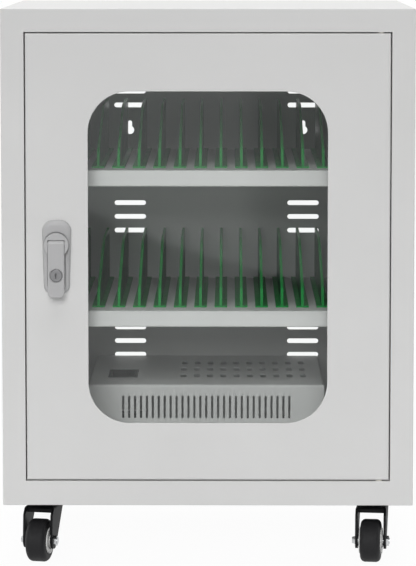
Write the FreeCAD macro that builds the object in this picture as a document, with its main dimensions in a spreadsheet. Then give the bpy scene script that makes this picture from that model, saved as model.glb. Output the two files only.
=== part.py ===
import FreeCAD, Part
import math
import os
import Sketcher

# Phone charging cabinet on casters: a folded steel body with a glazed door, two shelves of
# upright phone dividers and a slotted power box. Millimetres, +Z up, front towards -Y,
# origin on the floor under the middle of the whole cabinet.

doc = FreeCAD.newDocument("phone_charging_cabinet")

# Driving sizes

SIZES = [
    ("width", 500, "steel body, side to side"),
    ("depth", 400, "steel body, front to back"),
    ("body_height", 605, "steel body, bottom to top"),
    ("caster_height", 80, "floor to underside of the body"),
    ("sheet", 1.2, "steel sheet"),
    ("bend", 2, "outside radius of a folded edge"),
    ("stile", 28, "front frame beside the door"),
    ("head_rail", 28, "front frame above the door"),
    ("sill", 30, "front frame below the door"),
    ("frame_return", 25, "front face to the stop lip"),
    ("stop_lip", 12, "lip that the door closes against"),
    ("back_flange", 20, "flange round the back"),
    ("door_gap", 1.5, "gap round the door"),
    ("door_return", 18, "depth of the folded door"),
    ("door_hem", 12, "inward hem of the door"),
    ("window_width", 290, "window cut-out"),
    ("window_height", 404, "window cut-out"),
    ("window_radius", 50, "window corner"),
    ("window_rim", 0.7, "rounded edge of the window cut-out"),
    ("glass_sheet", 4, "window glass"),
    ("glass_overlap", 8, "glass behind the door skin"),
    ("clip_foot", 6.5, "foot and tongue of a glass clip"),
    ("clip_length", 16, "glass clip along the window edge"),
    ("clip_spread", 180, "pair of clips on one window edge"),
    ("hinge_inset", 12, "hinge axis from the door edge"),
    ("hinge_setback", 5, "hinge axis behind the front face"),
    ("pin_diameter", 5, "hinge pin"),
    ("pin_reach", 9, "hinge pin inside the door"),
    ("pin_head", 7, "hinge pin head"),
    ("pin_head_height", 2, "hinge pin head"),
    ("running_gap", 0.05, "radial clearance of a turning fit"),
    ("washer_diameter", 8, "nylon hinge washer"),
    ("face_gap", 0.3, "clearance between faces that pass each other"),
    ("bumper_diameter", 8, "rubber door bumper"),
    ("bumper_spread", 360, "pair of bumpers"),
    ("lock_inset", 0.25, "turret axis outside the middle of the door stile"),
    ("lock_height", 400.4, "turret axis above the floor"),
    ("housing_width", 36.3, "lock housing at the top"),
    ("housing_tail", 31, "lock housing at the bottom"),
    ("housing_rise", 29.3, "lock housing above the turret axis"),
    ("housing_drop", 60, "lock housing below the turret axis"),
    ("housing_height", 8, "lock housing off the door"),
    ("housing_corner", 13, "lock housing top corner in front view"),
    ("housing_heel", 10, "lock housing bottom corner in front view"),
    ("housing_edge", 6, "rounded front edge of the housing"),
    ("sleeve_diameter", 20, "housing sleeve through the door"),
    ("nut_height", 4, "nut on the sleeve"),
    ("nut_across", 26, "nut on the sleeve, across flats"),
    ("turret_diameter", 29.7, "turning turret of the lock"),
    ("turret_seat", 3, "turret recess in the housing"),
    ("turret_rise", 7.5, "turret above the housing face"),
    ("lock_groove", 1, "open groove round the turret, the lever and the key cylinder"),
    ("spindle_diameter", 10, "lock spindle"),
    ("square_drive", 7, "square end of the spindle"),
    ("lever_width", 20.2, "lock lever"),
    ("lever_height", 9, "lock lever thickness"),
    ("lever_drop", 63.5, "lever tip below the turret axis"),
    ("lever_tip", 6, "lever corner at the tip"),
    ("lever_rise", 1.5, "lever pin above the turret axis"),
    ("lever_edge", 1.6, "rounded front edge of the lever"),
    ("lever_pin", 3, "pin that the lever lifts on"),
    ("key_diameter", 15, "key cylinder"),
    ("key_drop", 36.5, "key cylinder below the turret axis"),
    ("key_proud", 0.6, "key cylinder above the lever"),
    ("keyway_width", 2.6, "key slot"),
    ("keyway_height", 6.5, "key slot"),
    ("keyway_depth", 5, "key slot"),
    ("cam_length", 36, "lock cam from its axis"),
    ("cam_width", 14, "lock cam"),
    ("cam_sheet", 3, "lock cam"),
    ("cam_clearance", 0.8, "cam behind the stop lip"),
    ("cam_screw_head", 10, "screw that holds the cam"),
    ("cam_screw_shank", 4, "screw that holds the cam"),
    ("cam_screw_length", 12, "screw that holds the cam, inside the spindle"),
    ("shelf_upper_top", 487, "upper shelf above the floor"),
    ("shelf_lower_top", 314, "lower shelf above the floor"),
    ("shelf_setback", 40, "shelf behind the front face"),
    ("shelf_lip", 20, "front lip of a shelf"),
    ("shelf_return", 10, "inward fold under the shelf lip"),
    ("shelf_end_gap", 1, "shelf end from the side panel"),
    ("cable_gap", 8, "shelf from the back panel"),
    ("rail_leg", 15, "shelf rail"),
    ("rail_setback", 12, "shelf rail behind the shelf lip"),
    ("divider_count", 16, "dividers on a shelf"),
    ("divider_shift", 3, "middle of a divider row from the cabinet centre"),
    ("slot_pitch", 25.25, "phone bay pitch"),
    ("blade", 3.5, "divider blade"),
    ("base_width", 15.5, "divider base"),
    ("base_height", 2, "divider base"),
    ("divider_setback", 33, "divider behind the shelf front"),
    ("divider_rear_gap", 8, "divider from the shelf back"),
    ("nose_run", 15, "sloping front of a blade"),
    ("nose_height", 23, "top of the sloping front"),
    ("crest_run", 168, "blade front to full height"),
    ("crest_height", 68, "full height of a blade"),
    ("nose_round", 8, "blade corner at the nose"),
    ("crest_round", 160, "blade bend at the crest"),
    ("box_width", 298, "power box"),
    ("box_shift", -3, "power box centre from the cabinet centre"),
    ("box_setback", 140, "power box behind the front face"),
    ("box_height", 125.8, "power box above the floor panel"),
    ("box_bend", 3, "bend at the box top"),
    ("box_rear_gap", 0.5, "power box from the back panel"),
    ("box_foot", 12, "side foot of the box"),
    ("port_width", 33.5, "cable port"),
    ("port_depth", 57.5, "cable port"),
    ("port_inset", 41.5, "cable port centre from the box end"),
    ("port_setback", 61.5, "cable port from the box front"),
    ("liner_flange", 2, "cable port liner over the box top"),
    ("liner_wall", 1.5, "cable port liner"),
    ("liner_drop", 8, "cable port liner below the box top"),
    ("top_vent_count", 10, "vents in a row on the box top"),
    ("top_vent_rows", 3, "rows of vents on the box top"),
    ("top_vent_width", 7.6, "box top vent"),
    ("top_vent_length", 28, "box top vent"),
    ("top_vent_pitch", 17.1, "box top vents"),
    ("top_vent_row_pitch", 56, "box top vent rows"),
    ("top_vent_inset", 119, "first vent from the box end"),
    ("top_vent_setback", 78, "first vent row from the box front"),
    ("front_vent_count", 29, "vents in the box front"),
    ("front_vent_width", 2.8, "box front vent"),
    ("front_vent_length", 28.8, "box front vent"),
    ("front_vent_pitch", 7.5, "box front vents"),
    ("front_vent_inset", 44, "first front vent from the box end"),
    ("front_vent_drop", 28.4, "front vents below the box top"),
    ("supply_width", 110, "power supply"),
    ("supply_depth", 180, "power supply"),
    ("supply_height", 50, "power supply"),
    ("supply_inset", 175, "power supply from the box end"),
    ("hub_width", 120, "charging hub"),
    ("hub_depth", 100, "charging hub"),
    ("hub_height", 34, "charging hub"),
    ("hub_inset", 24, "charging hub from the box end"),
    ("module_setback", 30, "modules behind the box front"),
    ("usb_width", 12, "charging outlet"),
    ("usb_height", 4.6, "charging outlet"),
    ("usb_depth", 8, "charging outlet"),
    ("usb_count", 5, "charging outlets in a row"),
    ("usb_rows", 2, "rows of charging outlets"),
    ("usb_pitch", 20, "charging outlets along the hub"),
    ("usb_row_pitch", 12, "charging outlets up the hub"),
    ("vent_left", -107, "left column of back vents"),
    ("vent_right", 125, "right column of back vents"),
    ("vent_length", 42, "back vent"),
    ("vent_width", 6.3, "back vent"),
    ("vent_count", 3, "back vents in a group"),
    ("vent_groups", 3, "groups of back vents in a column"),
    ("vent_pitch", 18.5, "back vents in a group"),
    ("vent_group_pitch", 168.4, "groups of back vents"),
    ("vent_lowest", 208.7, "lowest back vent above the floor"),
    ("keyhole_height", 512, "keyhole above the floor"),
    ("keyhole_diameter", 11, "round part of a keyhole"),
    ("keyhole_slot", 5.5, "narrow part of a keyhole"),
    ("keyhole_rise", 10, "narrow part above the round part"),
    ("inlet_shift", -110, "mains inlet from the cabinet centre"),
    ("inlet_height", 122, "mains inlet above the floor"),
    ("inlet_width", 27, "mains inlet body"),
    ("inlet_tall", 20, "mains inlet body"),
    ("inlet_length", 26, "mains inlet behind the panel"),
    ("inlet_flange", 11, "mounting ear of the inlet"),
    ("inlet_flange_sheet", 2.5, "mounting ear of the inlet"),
    ("inlet_wall", 1.6, "mains inlet rim"),
    ("inlet_socket", 17, "depth of the inlet socket"),
    ("inlet_corner", 6, "clipped top corner of the inlet socket"),
    ("inlet_pin_width", 2, "contact pin"),
    ("inlet_pin_tall", 4, "contact pin"),
    ("inlet_pin_length", 13, "contact pin"),
    ("inlet_pin_pitch", 7, "contact pins"),
    ("swivel_inset", 46, "front caster axis from the side"),
    ("swivel_setback", 70, "front caster axis from the front"),
    ("rear_inset", 31, "rear caster axis from the side"),
    ("rear_setback", 46, "rear caster axis from the back"),
    ("plate_width", 58, "caster plate"),
    ("plate_sheet", 2.5, "caster plate"),
    ("bolt_spread", 44, "caster bolts, centre to centre"),
    ("bolt_diameter", 6, "caster bolt"),
    ("bolt_across", 10, "caster bolt head across flats"),
    ("bolt_head", 4, "caster bolt head and nut height"),
    ("bolt_gap", 0.2, "radial clearance of a bolt hole"),
    ("race_diameter", 42, "fixed raceway of a caster"),
    ("cup_diameter", 36, "turning raceway of a caster"),
    ("cup_height", 3, "turning raceway above the crown"),
    ("crown_height", 66, "underside of the fork crown"),
    ("crown_sheet", 3, "fork crown"),
    ("crown_length", 40, "fork crown, front to back"),
    ("crown_round", 3.5, "bend from the fork crown into a leg"),
    ("crown_flange", 5, "front flange under the fork crown"),
    ("kingpin", 10, "kingpin of a caster"),
    ("kingpin_head", 16, "kingpin head"),
    ("kingpin_head_height", 3, "kingpin head"),
    ("fork_width", 38, "fork over its legs"),
    ("fork_leg", 3, "fork leg"),
    ("leg_round", 10, "rounded end of a fork leg"),
    ("knee_reach", 8, "fork leg in front of the crown, at its knee"),
    ("knee_drop", 10, "knee of a fork leg below the crown top"),
    ("trail", 20, "wheel axle from the swivel axis"),
    ("wheel_diameter", 53, "caster wheel"),
    ("tyre_width", 25, "tyre"),
    ("tyre_round", 6, "tyre shoulder"),
    ("rim_diameter", 32, "seat of the tyre"),
    ("rim_width", 28, "hub rim"),
    ("rim_depth", 5, "thickness of the hub rim"),
    ("hub_boss", 16, "centre of the hub"),
    ("web", 8, "web between rim and centre"),
    ("hub_side_gap", 1, "hub from a fork leg"),
    ("axle", 8, "wheel axle"),
    ("axle_head", 11, "domed axle head and nut across flats"),
    ("axle_head_height", 4.2, "domed axle head"),
    ("axle_nut", 3.4, "axle nut height"),
    ("turn_front_left", -13, "caster as it stands, degrees"),
    ("turn_front_right", -7, "caster as it stands, degrees"),
    ("turn_rear_left", 176, "caster as it stands, degrees"),
    ("turn_rear_right", 185, "caster as it stands, degrees"),
]

sheet = doc.addObject("Spreadsheet::Sheet", "Sizes")
for row, (alias, value, meaning) in enumerate(SIZES, start=1):
    sheet.set(f"A{row}", alias)
    sheet.set(f"B{row}", str(value))
    sheet.set(f"C{row}", meaning)
    sheet.setAlias(f"B{row}", alias)
doc.recompute()


class Size:
    """A length or angle that knows its number and the sheet formula behind it."""

    def __init__(self, number, formula):
        self.number = number
        self.formula = formula

    def join(self, other, sign, number):
        return Size(number, f"({self.formula} {sign} {formula_of(other)})")

    def __add__(self, other):
        return self.join(other, "+", self.number + number_of(other))

    def __sub__(self, other):
        return self.join(other, "-", self.number - number_of(other))

    def __mul__(self, other):
        return self.join(other, "*", self.number * number_of(other))

    def __truediv__(self, other):
        return self.join(other, "/", self.number / number_of(other))

    def __radd__(self, other):
        return self + other

    def __rsub__(self, other):
        return -self + other

    def __neg__(self):
        return Size(-self.number, f"(-1 * {self.formula})")


def number_of(size):
    return size.number if isinstance(size, Size) else size


def formula_of(size):
    return size.formula if isinstance(size, Size) else repr(size)


def sine(angle):
    return Size(math.sin(math.radians(angle.number)), f"sin({angle.formula})")


def cosine(angle):
    return Size(math.cos(math.radians(angle.number)), f"cos({angle.formula})")


class Cells:
    """The sheet's cells as sizes, by name."""

    def __getattr__(self, alias):
        return Size(float(sheet.get(alias)), f"Sizes.{alias}")


size = Cells()


def bind(thing, name, size):
    thing.setExpression(name, formula_of(size))


# Sketches and features

NODES = []


def new_body(label, x=0, y=0, z=0, turn=0):
    """A sub-part whose own frame stands at x, y, z, turned about the vertical."""
    body = doc.addObject("PartDesign::Body", label)
    body.Label = label
    place = "; ".join(formula_of(value) for value in (x, y, z))
    spin = f"rotation(vector(0; 0; 1); {formula_of(turn)})"
    body.setExpression("Placement", f"placement(vector({place}); {spin})")
    NODES.append(body)
    return body


def origin_part(body, role):
    return next(part for part in body.Origin.OriginFeatures if part.Role == role)


def sketch_on(body, plane, offset=0):
    """A sketch parallel to an origin plane. XZ sketches face -Y, so their offset counts forwards."""
    sketch = body.newObject("Sketcher::SketchObject", body.Name + "_sketch")
    sketch.AttachmentSupport = [(origin_part(body, plane + "_Plane"), "")]
    sketch.MapMode = "FlatFace"
    bind(sketch, "AttachmentOffset.Base.z", offset)
    return sketch


def hold(sketch, kind, size, *references):
    index = sketch.addConstraint(Sketcher.Constraint(kind, *references, number_of(size)))
    bind(sketch, f"Constraints[{index}]", size)


def hold_point(sketch, geometry, point, x, y):
    hold(sketch, "DistanceX", x, geometry, point)
    hold(sketch, "DistanceY", y, geometry, point)


def outline(sketch, corners):
    """A closed run of straight edges through corners."""
    first = sketch.GeometryCount
    spots = [FreeCAD.Vector(number_of(x), number_of(y), 0) for x, y in corners]
    for start, end in zip(spots, spots[1:] + spots[:1]):
        sketch.addGeometry(Part.LineSegment(start, end), False)
    for index, (x, y) in enumerate(corners):
        following = first + (index + 1) % len(corners)
        sketch.addConstraint(Sketcher.Constraint("Coincident", first + index, 2, following, 1))
        hold_point(sketch, first + index, 1, x, y)


def rectangle(sketch, left, low, right, high):
    outline(sketch, [(left, low), (right, low), (right, high), (left, high)])


def hexagon(sketch, x, y, across):
    side = across / math.sqrt(3)
    half = across / 2
    outline(sketch, [(x + half, y - side / 2), (x + half, y + side / 2), (x, y + side),
                     (x - half, y + side / 2), (x - half, y - side / 2), (x, y - side)])


def circle(sketch, x, y, diameter):
    middle = FreeCAD.Vector(number_of(x), number_of(y), 0)
    shape = Part.Circle(middle, FreeCAD.Vector(0, 0, 1), number_of(diameter) / 2)
    index = sketch.addGeometry(shape, False)
    hold_point(sketch, index, 3, x, y)
    hold(sketch, "Diameter", diameter, index)


def arc(x, y, radius, start, end):
    middle = FreeCAD.Vector(number_of(x), number_of(y), 0)
    full = Part.Circle(middle, FreeCAD.Vector(0, 0, 1), number_of(radius))
    return Part.ArcOfCircle(full, math.radians(start), math.radians(end))


def tangent_ends(sketch, *pairs):
    for first, first_end, second, second_end in pairs:
        sketch.addConstraint(Sketcher.Constraint("Tangent", first, first_end, second, second_end))


def slot(sketch, x, y, length, width, upright=False):
    """A round-ended slot, lying along the sketch's X or standing along its Y."""
    reach = (length - width) / 2
    radius = width / 2
    if upright:
        ends = [(x, reach + y), (x, -reach + y)]
        side = FreeCAD.Vector(radius.number, 0, 0)
        turn = 0
    else:
        ends = [(-reach + x, y), (reach + x, y)]
        side = FreeCAD.Vector(0, radius.number, 0)
        turn = 90
    first = sketch.GeometryCount
    arcs = [arc(*ends[0], radius, turn, turn + 180), arc(*ends[1], radius, turn + 180, turn + 360)]
    one, two = (bend.Center for bend in arcs)
    lines = [Part.LineSegment(one - side, two - side), Part.LineSegment(two + side, one + side)]
    sketch.addGeometry(arcs + lines, False)
    tangent_ends(sketch, (first, 2, first + 2, 1), (first + 2, 2, first + 1, 1),
                 (first + 1, 2, first + 3, 1), (first + 3, 2, first, 1))
    hold_point(sketch, first, 3, *ends[0])
    hold_point(sketch, first + 1, 3, *ends[1])
    hold(sketch, "Radius", radius, first)
    sketch.addConstraint(Sketcher.Constraint("Equal", first, first + 1))


def rounded_rectangle(sketch, left, low, right, high, radius):
    """A rectangle with four equal round corners, drawn anticlockwise from its low edge."""
    first = sketch.GeometryCount
    corners = [arc(right - radius, low + radius, radius, 270, 360),
               arc(right - radius, high - radius, radius, 0, 90),
               arc(left + radius, high - radius, radius, 90, 180),
               arc(left + radius, low + radius, radius, 180, 270)]
    sides = []
    for index, corner in enumerate(corners):
        sides.append(Part.LineSegment(corner.EndPoint, corners[(index + 1) % 4].StartPoint))
    sketch.addGeometry(corners + sides, False)
    for index in range(4):
        corner = first + index
        side = first + 4 + index
        following = first + (index + 1) % 4
        tangent_ends(sketch, (corner, 2, side, 1), (side, 2, following, 1))
        sketch.addConstraint(Sketcher.Constraint("Vertical" if index % 2 == 0 else "Horizontal", side))
        if index:
            sketch.addConstraint(Sketcher.Constraint("Equal", first, corner))
    hold(sketch, "Radius", radius, first)
    hold(sketch, "DistanceX", right, first + 4, 1)
    hold(sketch, "DistanceY", high, first + 5, 1)
    hold(sketch, "DistanceX", left, first + 6, 1)
    hold(sketch, "DistanceY", low, first + 7, 1)


def add(body, kind, sketch, length=None, both=False, back=False):
    """Pad or Pocket of a sketch: a length, or through everything where none is given."""
    feature = body.newObject("PartDesign::" + kind, body.Name + "_" + kind.lower())
    feature.Profile = sketch
    feature.SideType = "Symmetric" if both else "One side"
    feature.Reversed = back
    if length is None:
        feature.Type = "ThroughAll"
    else:
        bind(feature, "Length", length)
    return feature


def pad(body, sketch, length, both=False, back=False):
    return add(body, "Pad", sketch, length, both, back)


def pocket(body, sketch, length=None, both=False, back=False):
    return add(body, "Pocket", sketch, length, both, back)


def revolve(body, sketch, axis):
    feature = body.newObject("PartDesign::Revolution", body.Name + "_turned")
    feature.Profile = sketch
    feature.ReferenceAxis = (sketch, [axis + "_Axis"])
    feature.Angle = 360
    return feature


def row(body, axis, count, pitch):
    """Equal steps along an axis of the sub-part's own frame."""
    pattern = body.newObject("PartDesign::LinearPattern", body.Name + "_row")
    pattern.Direction = (origin_part(body, axis + "_Axis"), [""])
    pattern.Mode = "Spacing"
    bind(pattern, "Occurrences", count)
    bind(pattern, "Offset", pitch)
    return pattern


def repeat(body, features, axis, count, pitch):
    """Copies of features along an axis, or of the whole sub-part if none are named."""
    pattern = row(body, axis, count, pitch)
    if features:
        pattern.Originals = features
    else:
        pattern.TransformMode = "Whole shape"
    body.Tip = pattern


def repeat_grid(body, features, *steps):
    """Copies of features in rows along more than one axis, each step an axis, a count and a pitch."""
    grid = body.newObject("PartDesign::MultiTransform", body.Name + "_grid")
    grid.Originals = features
    grid.Transformations = [row(body, *step) for step in steps]
    body.Tip = grid


# Places nearer than this are one place, and directions with a larger cosine between them are one direction
SAME_PLACE = 0.01
SAME_WAY = 0.99


def edges_along(feature, direction, test):
    """Names of the straight edges in a direction whose middle passes a test."""
    doc.recompute()
    names = []
    for index, edge in enumerate(feature.Shape.Edges, start=1):
        straight = edge.Curve.TypeId == "Part::GeomLine"
        if straight and abs(edge.Curve.Direction.dot(direction)) > SAME_WAY and test(edge.CenterOfMass):
            names.append(f"Edge{index}")
    return names


def edges_in_plane(feature, direction, place):
    """Names of the edges that lie in the plane at a place along a direction."""
    doc.recompute()
    names = []
    for index, edge in enumerate(feature.Shape.Edges, start=1):
        spots = edge.discretize(4)
        if all(abs(spot.dot(direction) - place) < SAME_PLACE for spot in spots):
            names.append(f"Edge{index}")
    return names


def edges_at(feature, direction, spots):
    """Names of the straight edges in a direction that pass through spots, given across it."""
    across = [axis for axis in (ALONG_X, ALONG_Y, ALONG_Z) if axis is not direction]

    def at_a_spot(middle):
        place = [middle.dot(axis) for axis in across]
        misses = [abs(place[0] - number_of(one)) + abs(place[1] - number_of(two)) for one, two in spots]
        return min(misses) < SAME_PLACE

    return edges_along(feature, direction, at_a_spot)


def fillet(body, feature, names, radius):
    rounded = body.newObject("PartDesign::Fillet", body.Name + "_round")
    rounded.Base = (feature, names)
    bind(rounded, "Radius", radius)
    return rounded


def bend_edges(body, feature, direction, outside, inside):
    """Folds along a direction: their outside corners get the bend, their inside ones keep the sheet."""
    feature = fillet(body, feature, edges_at(feature, direction, outside), size.bend)
    return fillet(body, feature, edges_at(feature, direction, inside), size.bend - size.sheet)


ALONG_X = FreeCAD.Vector(1, 0, 0)
ALONG_Y = FreeCAD.Vector(0, 1, 0)
ALONG_Z = FreeCAD.Vector(0, 0, 1)


# Places that the pieces share. Most pieces stand in the cabinet frame: X from the middle,
# Y backwards from the front face, Z from the floor.

half = size.width / 2
bottom = size.caster_height
top = bottom + size.body_height
floor_top = bottom + size.sheet
opening = half - size.stile
opening_low = bottom + size.sill
opening_high = top - size.head_rail
door_half = opening - size.door_gap
door_low = opening_low + size.door_gap
door_high = opening_high - size.door_gap
window_middle = (door_low + door_high) / 2
glass_half_width = size.window_width / 2 + size.glass_overlap
glass_half_height = size.window_height / 2 + size.glass_overlap
back_outside = size.depth - size.sheet
back_inside = back_outside - size.sheet
side_inside = half - size.sheet
lever_back = size.housing_height + size.face_gap
lever_front = lever_back + size.lever_height
lock_reach = lever_front + size.key_proud
front = (lock_reach - size.depth) / 2
hinge_x = door_half - size.hinge_inset
lock_x = (size.window_width / 2 + door_half) / -2 - size.lock_inset
pin_bore = size.pin_diameter + size.running_gap * 2


# Steel body

def side_panel(label, side):
    """One folded sheet: back flange, side, stile, return and stop lip."""
    body = new_body(label, y=front)
    sheet_end = size.frame_return + size.sheet
    profile = [
        (0, 0), (size.stile, 0), (size.stile, size.frame_return),
        (size.stile + size.stop_lip, size.frame_return), (size.stile + size.stop_lip, sheet_end),
        (size.stile - size.sheet, sheet_end), (size.stile - size.sheet, size.sheet),
        (size.sheet, size.sheet), (size.sheet, back_outside), (size.back_flange, back_outside),
        (size.back_flange, size.depth), (0, size.depth),
    ]
    section = sketch_on(body, "XY", floor_top)
    outline(section, [((half - inward) * side, deep) for inward, deep in profile])
    folded = pad(body, section, size.body_height - size.sheet * 2)
    outside = [(half * side, 0), (half * side, size.depth)]
    bend_edges(body, folded, ALONG_Z, outside, [(side_inside * side, size.sheet)])


def end_panel(label, face, edge, inward):
    """Top or bottom sheet with its rail of the front frame. Inward is -1 under the top, else 1."""
    body = new_body(label, y=front)
    skin = sketch_on(body, "XY", face)
    rectangle(skin, -half, 0, half, size.depth)
    pad(body, skin, size.sheet, back=inward < 0)
    inner = edge - size.sheet * inward
    rail = sketch_on(body, "YZ")
    rail_end = size.frame_return + size.sheet
    outline(rail, [(0, face), (0, edge), (size.frame_return, edge), (size.frame_return, inner),
                   (size.sheet, inner), (size.sheet, face)])
    pad(body, rail, opening * 2, both=True)
    lip = sketch_on(body, "YZ")
    rectangle(lip, size.frame_return, inner, rail_end, edge + size.stop_lip * inward)
    pad(body, lip, (opening - size.stop_lip) * 2, both=True)
    flange = sketch_on(body, "YZ")
    rectangle(flange, back_outside, face, size.depth, face + size.back_flange * inward)
    folded = pad(body, flange, (half - size.back_flange) * 2, both=True)
    ends = [(half * side, deep) for side in (-1, 1) for deep in (0, size.depth)]
    folded = fillet(body, folded, edges_at(folded, ALONG_Z, ends), size.bend)
    fillet(body, folded, edges_in_plane(folded, ALONG_Z, face.number), size.bend / 2)
    hole = sketch_on(body, "XY", edge)
    circle(hole, hinge_x, size.hinge_setback, pin_bore)
    pocket(body, hole, size.sheet * 2, both=True)
    return body


CASTER_PAIRS = [(size.swivel_inset, size.swivel_setback), (size.rear_inset, size.depth - size.rear_setback)]


def caster_bolt_spots(inset, deep):
    """The four bolts of the left caster of a pair."""
    reach = size.bolt_spread / 2
    x = inset - half
    return [(x - reach, deep - reach), (x + reach, deep - reach),
            (x + reach, deep + reach), (x - reach, deep + reach)]


def bottom_panel():
    body = end_panel("bottom_panel", bottom, opening_low, 1)
    for inset, deep in CASTER_PAIRS:
        holes = sketch_on(body, "XY", floor_top)
        for x, y in caster_bolt_spots(inset, deep):
            circle(holes, x, y, size.bolt_diameter + size.bolt_gap * 2)
        repeat(body, [pocket(body, holes, size.sheet * 2)], "X", 2, size.width - inset * 2)


def back_panel():
    """Flat sheet inside the back flanges, with vents, keyholes for a wall and the inlet cut-out."""
    body = new_body("back_panel", y=front)
    skin = sketch_on(body, "XZ", -back_inside)
    rectangle(skin, -side_inside, floor_top, side_inside, top - size.sheet)
    pad(body, skin, size.sheet, back=True)
    holes = sketch_on(body, "XZ", -back_inside)
    necks = sketch_on(body, "XZ", -back_inside)
    vents = sketch_on(body, "XZ", -back_inside)
    neck_length = size.keyhole_rise + size.keyhole_slot
    for x in (size.vent_left, size.vent_right):
        circle(holes, x, size.keyhole_height, size.keyhole_diameter)
        slot(necks, x, size.keyhole_height + size.keyhole_rise / 2, neck_length, size.keyhole_slot,
             upright=True)
        slot(vents, x, size.vent_lowest, size.vent_length, size.vent_width)
    cut = size.sheet * 2
    pocket(body, holes, cut)
    pocket(body, necks, cut)
    inlet = sketch_on(body, "XZ", -back_inside)
    reach = size.inlet_width / 2 + size.face_gap
    rise = size.inlet_tall / 2 + size.face_gap
    rectangle(inlet, size.inlet_shift - reach, size.inlet_height - rise,
              size.inlet_shift + reach, size.inlet_height + rise)
    pocket(body, inlet, cut)
    vent_cut = pocket(body, vents, cut)
    repeat_grid(body, [vent_cut], ("Z", size.vent_count, size.vent_pitch),
                ("Z", size.vent_groups, size.vent_group_pitch))


side_panel("side_panel_left", -1)
side_panel("side_panel_right", 1)
end_panel("top_panel", top, opening_high, -1)
bottom_panel()
back_panel()


# Shelves and phone dividers

shelf_back = back_inside - size.cable_gap
shelf_half = side_inside - size.shelf_end_gap


def shelf(label, level):
    """Folded sheet: lip and return at the front, a plain flange at the back."""
    body = new_body(label, y=front)
    near = size.shelf_setback
    inside = near + size.sheet
    fold = near + size.shelf_return
    low = level - size.shelf_lip
    section = sketch_on(body, "YZ")
    outline(section, [
        (near, level), (near, low), (fold, low), (fold, low + size.sheet), (inside, low + size.sheet),
        (inside, level - size.sheet), (shelf_back - size.sheet, level - size.sheet),
        (shelf_back - size.sheet, low), (shelf_back, low), (shelf_back, level)])
    folded = pad(body, section, shelf_half * 2, both=True)
    bend_edges(body, folded, ALONG_X, [(near, level), (near, low), (shelf_back, level)],
               [(inside, level - size.sheet), (inside, low + size.sheet),
                (shelf_back - size.sheet, level - size.sheet)])


def shelf_rails():
    """Angles on the side panels that carry the two shelves."""
    body = new_body("shelf_rails", y=front)
    near = size.shelf_setback + size.rail_setback
    section = sketch_on(body, "XZ", -near)
    for level in (size.shelf_lower_top, size.shelf_upper_top):
        seat = level - size.sheet
        for side in (-1, 1):
            tip = (side_inside - size.rail_leg) * side
            wall = side_inside * side
            inner = (side_inside - size.sheet) * side
            outline(section, [(wall, seat), (tip, seat), (tip, seat - size.sheet), (inner, seat - size.sheet),
                              (inner, seat - size.rail_leg), (wall, seat - size.rail_leg)])
    pad(body, section, shelf_back - size.rail_setback - near, back=True)


def dividers(label, level):
    """A row of upright blades, each moulded with its own base."""
    near = size.shelf_setback + size.divider_setback
    length = shelf_back - size.divider_rear_gap - near
    first = size.divider_shift - (size.divider_count - 1) * size.slot_pitch / 2
    body = new_body(label, first, front + near, level)
    side = sketch_on(body, "YZ")
    outline(side, [(0, 0), (size.nose_run, size.nose_height), (size.crest_run, size.crest_height),
                   (length, size.crest_height), (length, 0)])
    blade = pad(body, side, size.blade, both=True)
    corners = [(size.nose_run, size.nose_round), (size.crest_run, size.crest_round)]
    for run, radius in corners:
        spot = run.number
        names = edges_along(blade, ALONG_X, lambda middle: abs(middle.y - spot) < SAME_PLACE)
        blade = fillet(body, blade, names, radius)
    base = sketch_on(body, "XY")
    rectangle(base, size.base_width / -2, 0, size.base_width / 2, length)
    pad(body, base, size.base_height)
    repeat(body, [], "X", size.divider_count, size.slot_pitch)


shelf("shelf_upper", size.shelf_upper_top)
shelf("shelf_lower", size.shelf_lower_top)
shelf_rails()
dividers("dividers_upper", size.shelf_upper_top)
dividers("dividers_lower", size.shelf_lower_top)


# Power box

box_left = size.box_shift - size.box_width / 2
box_right = size.box_shift + size.box_width / 2
box_top = floor_top + size.box_height
box_rear = back_inside - size.box_rear_gap
port_x = box_left + size.port_inset
port_near = size.box_setback + size.port_setback
port_far = port_near + size.port_depth
module_y = front + size.box_setback + size.module_setback


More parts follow.
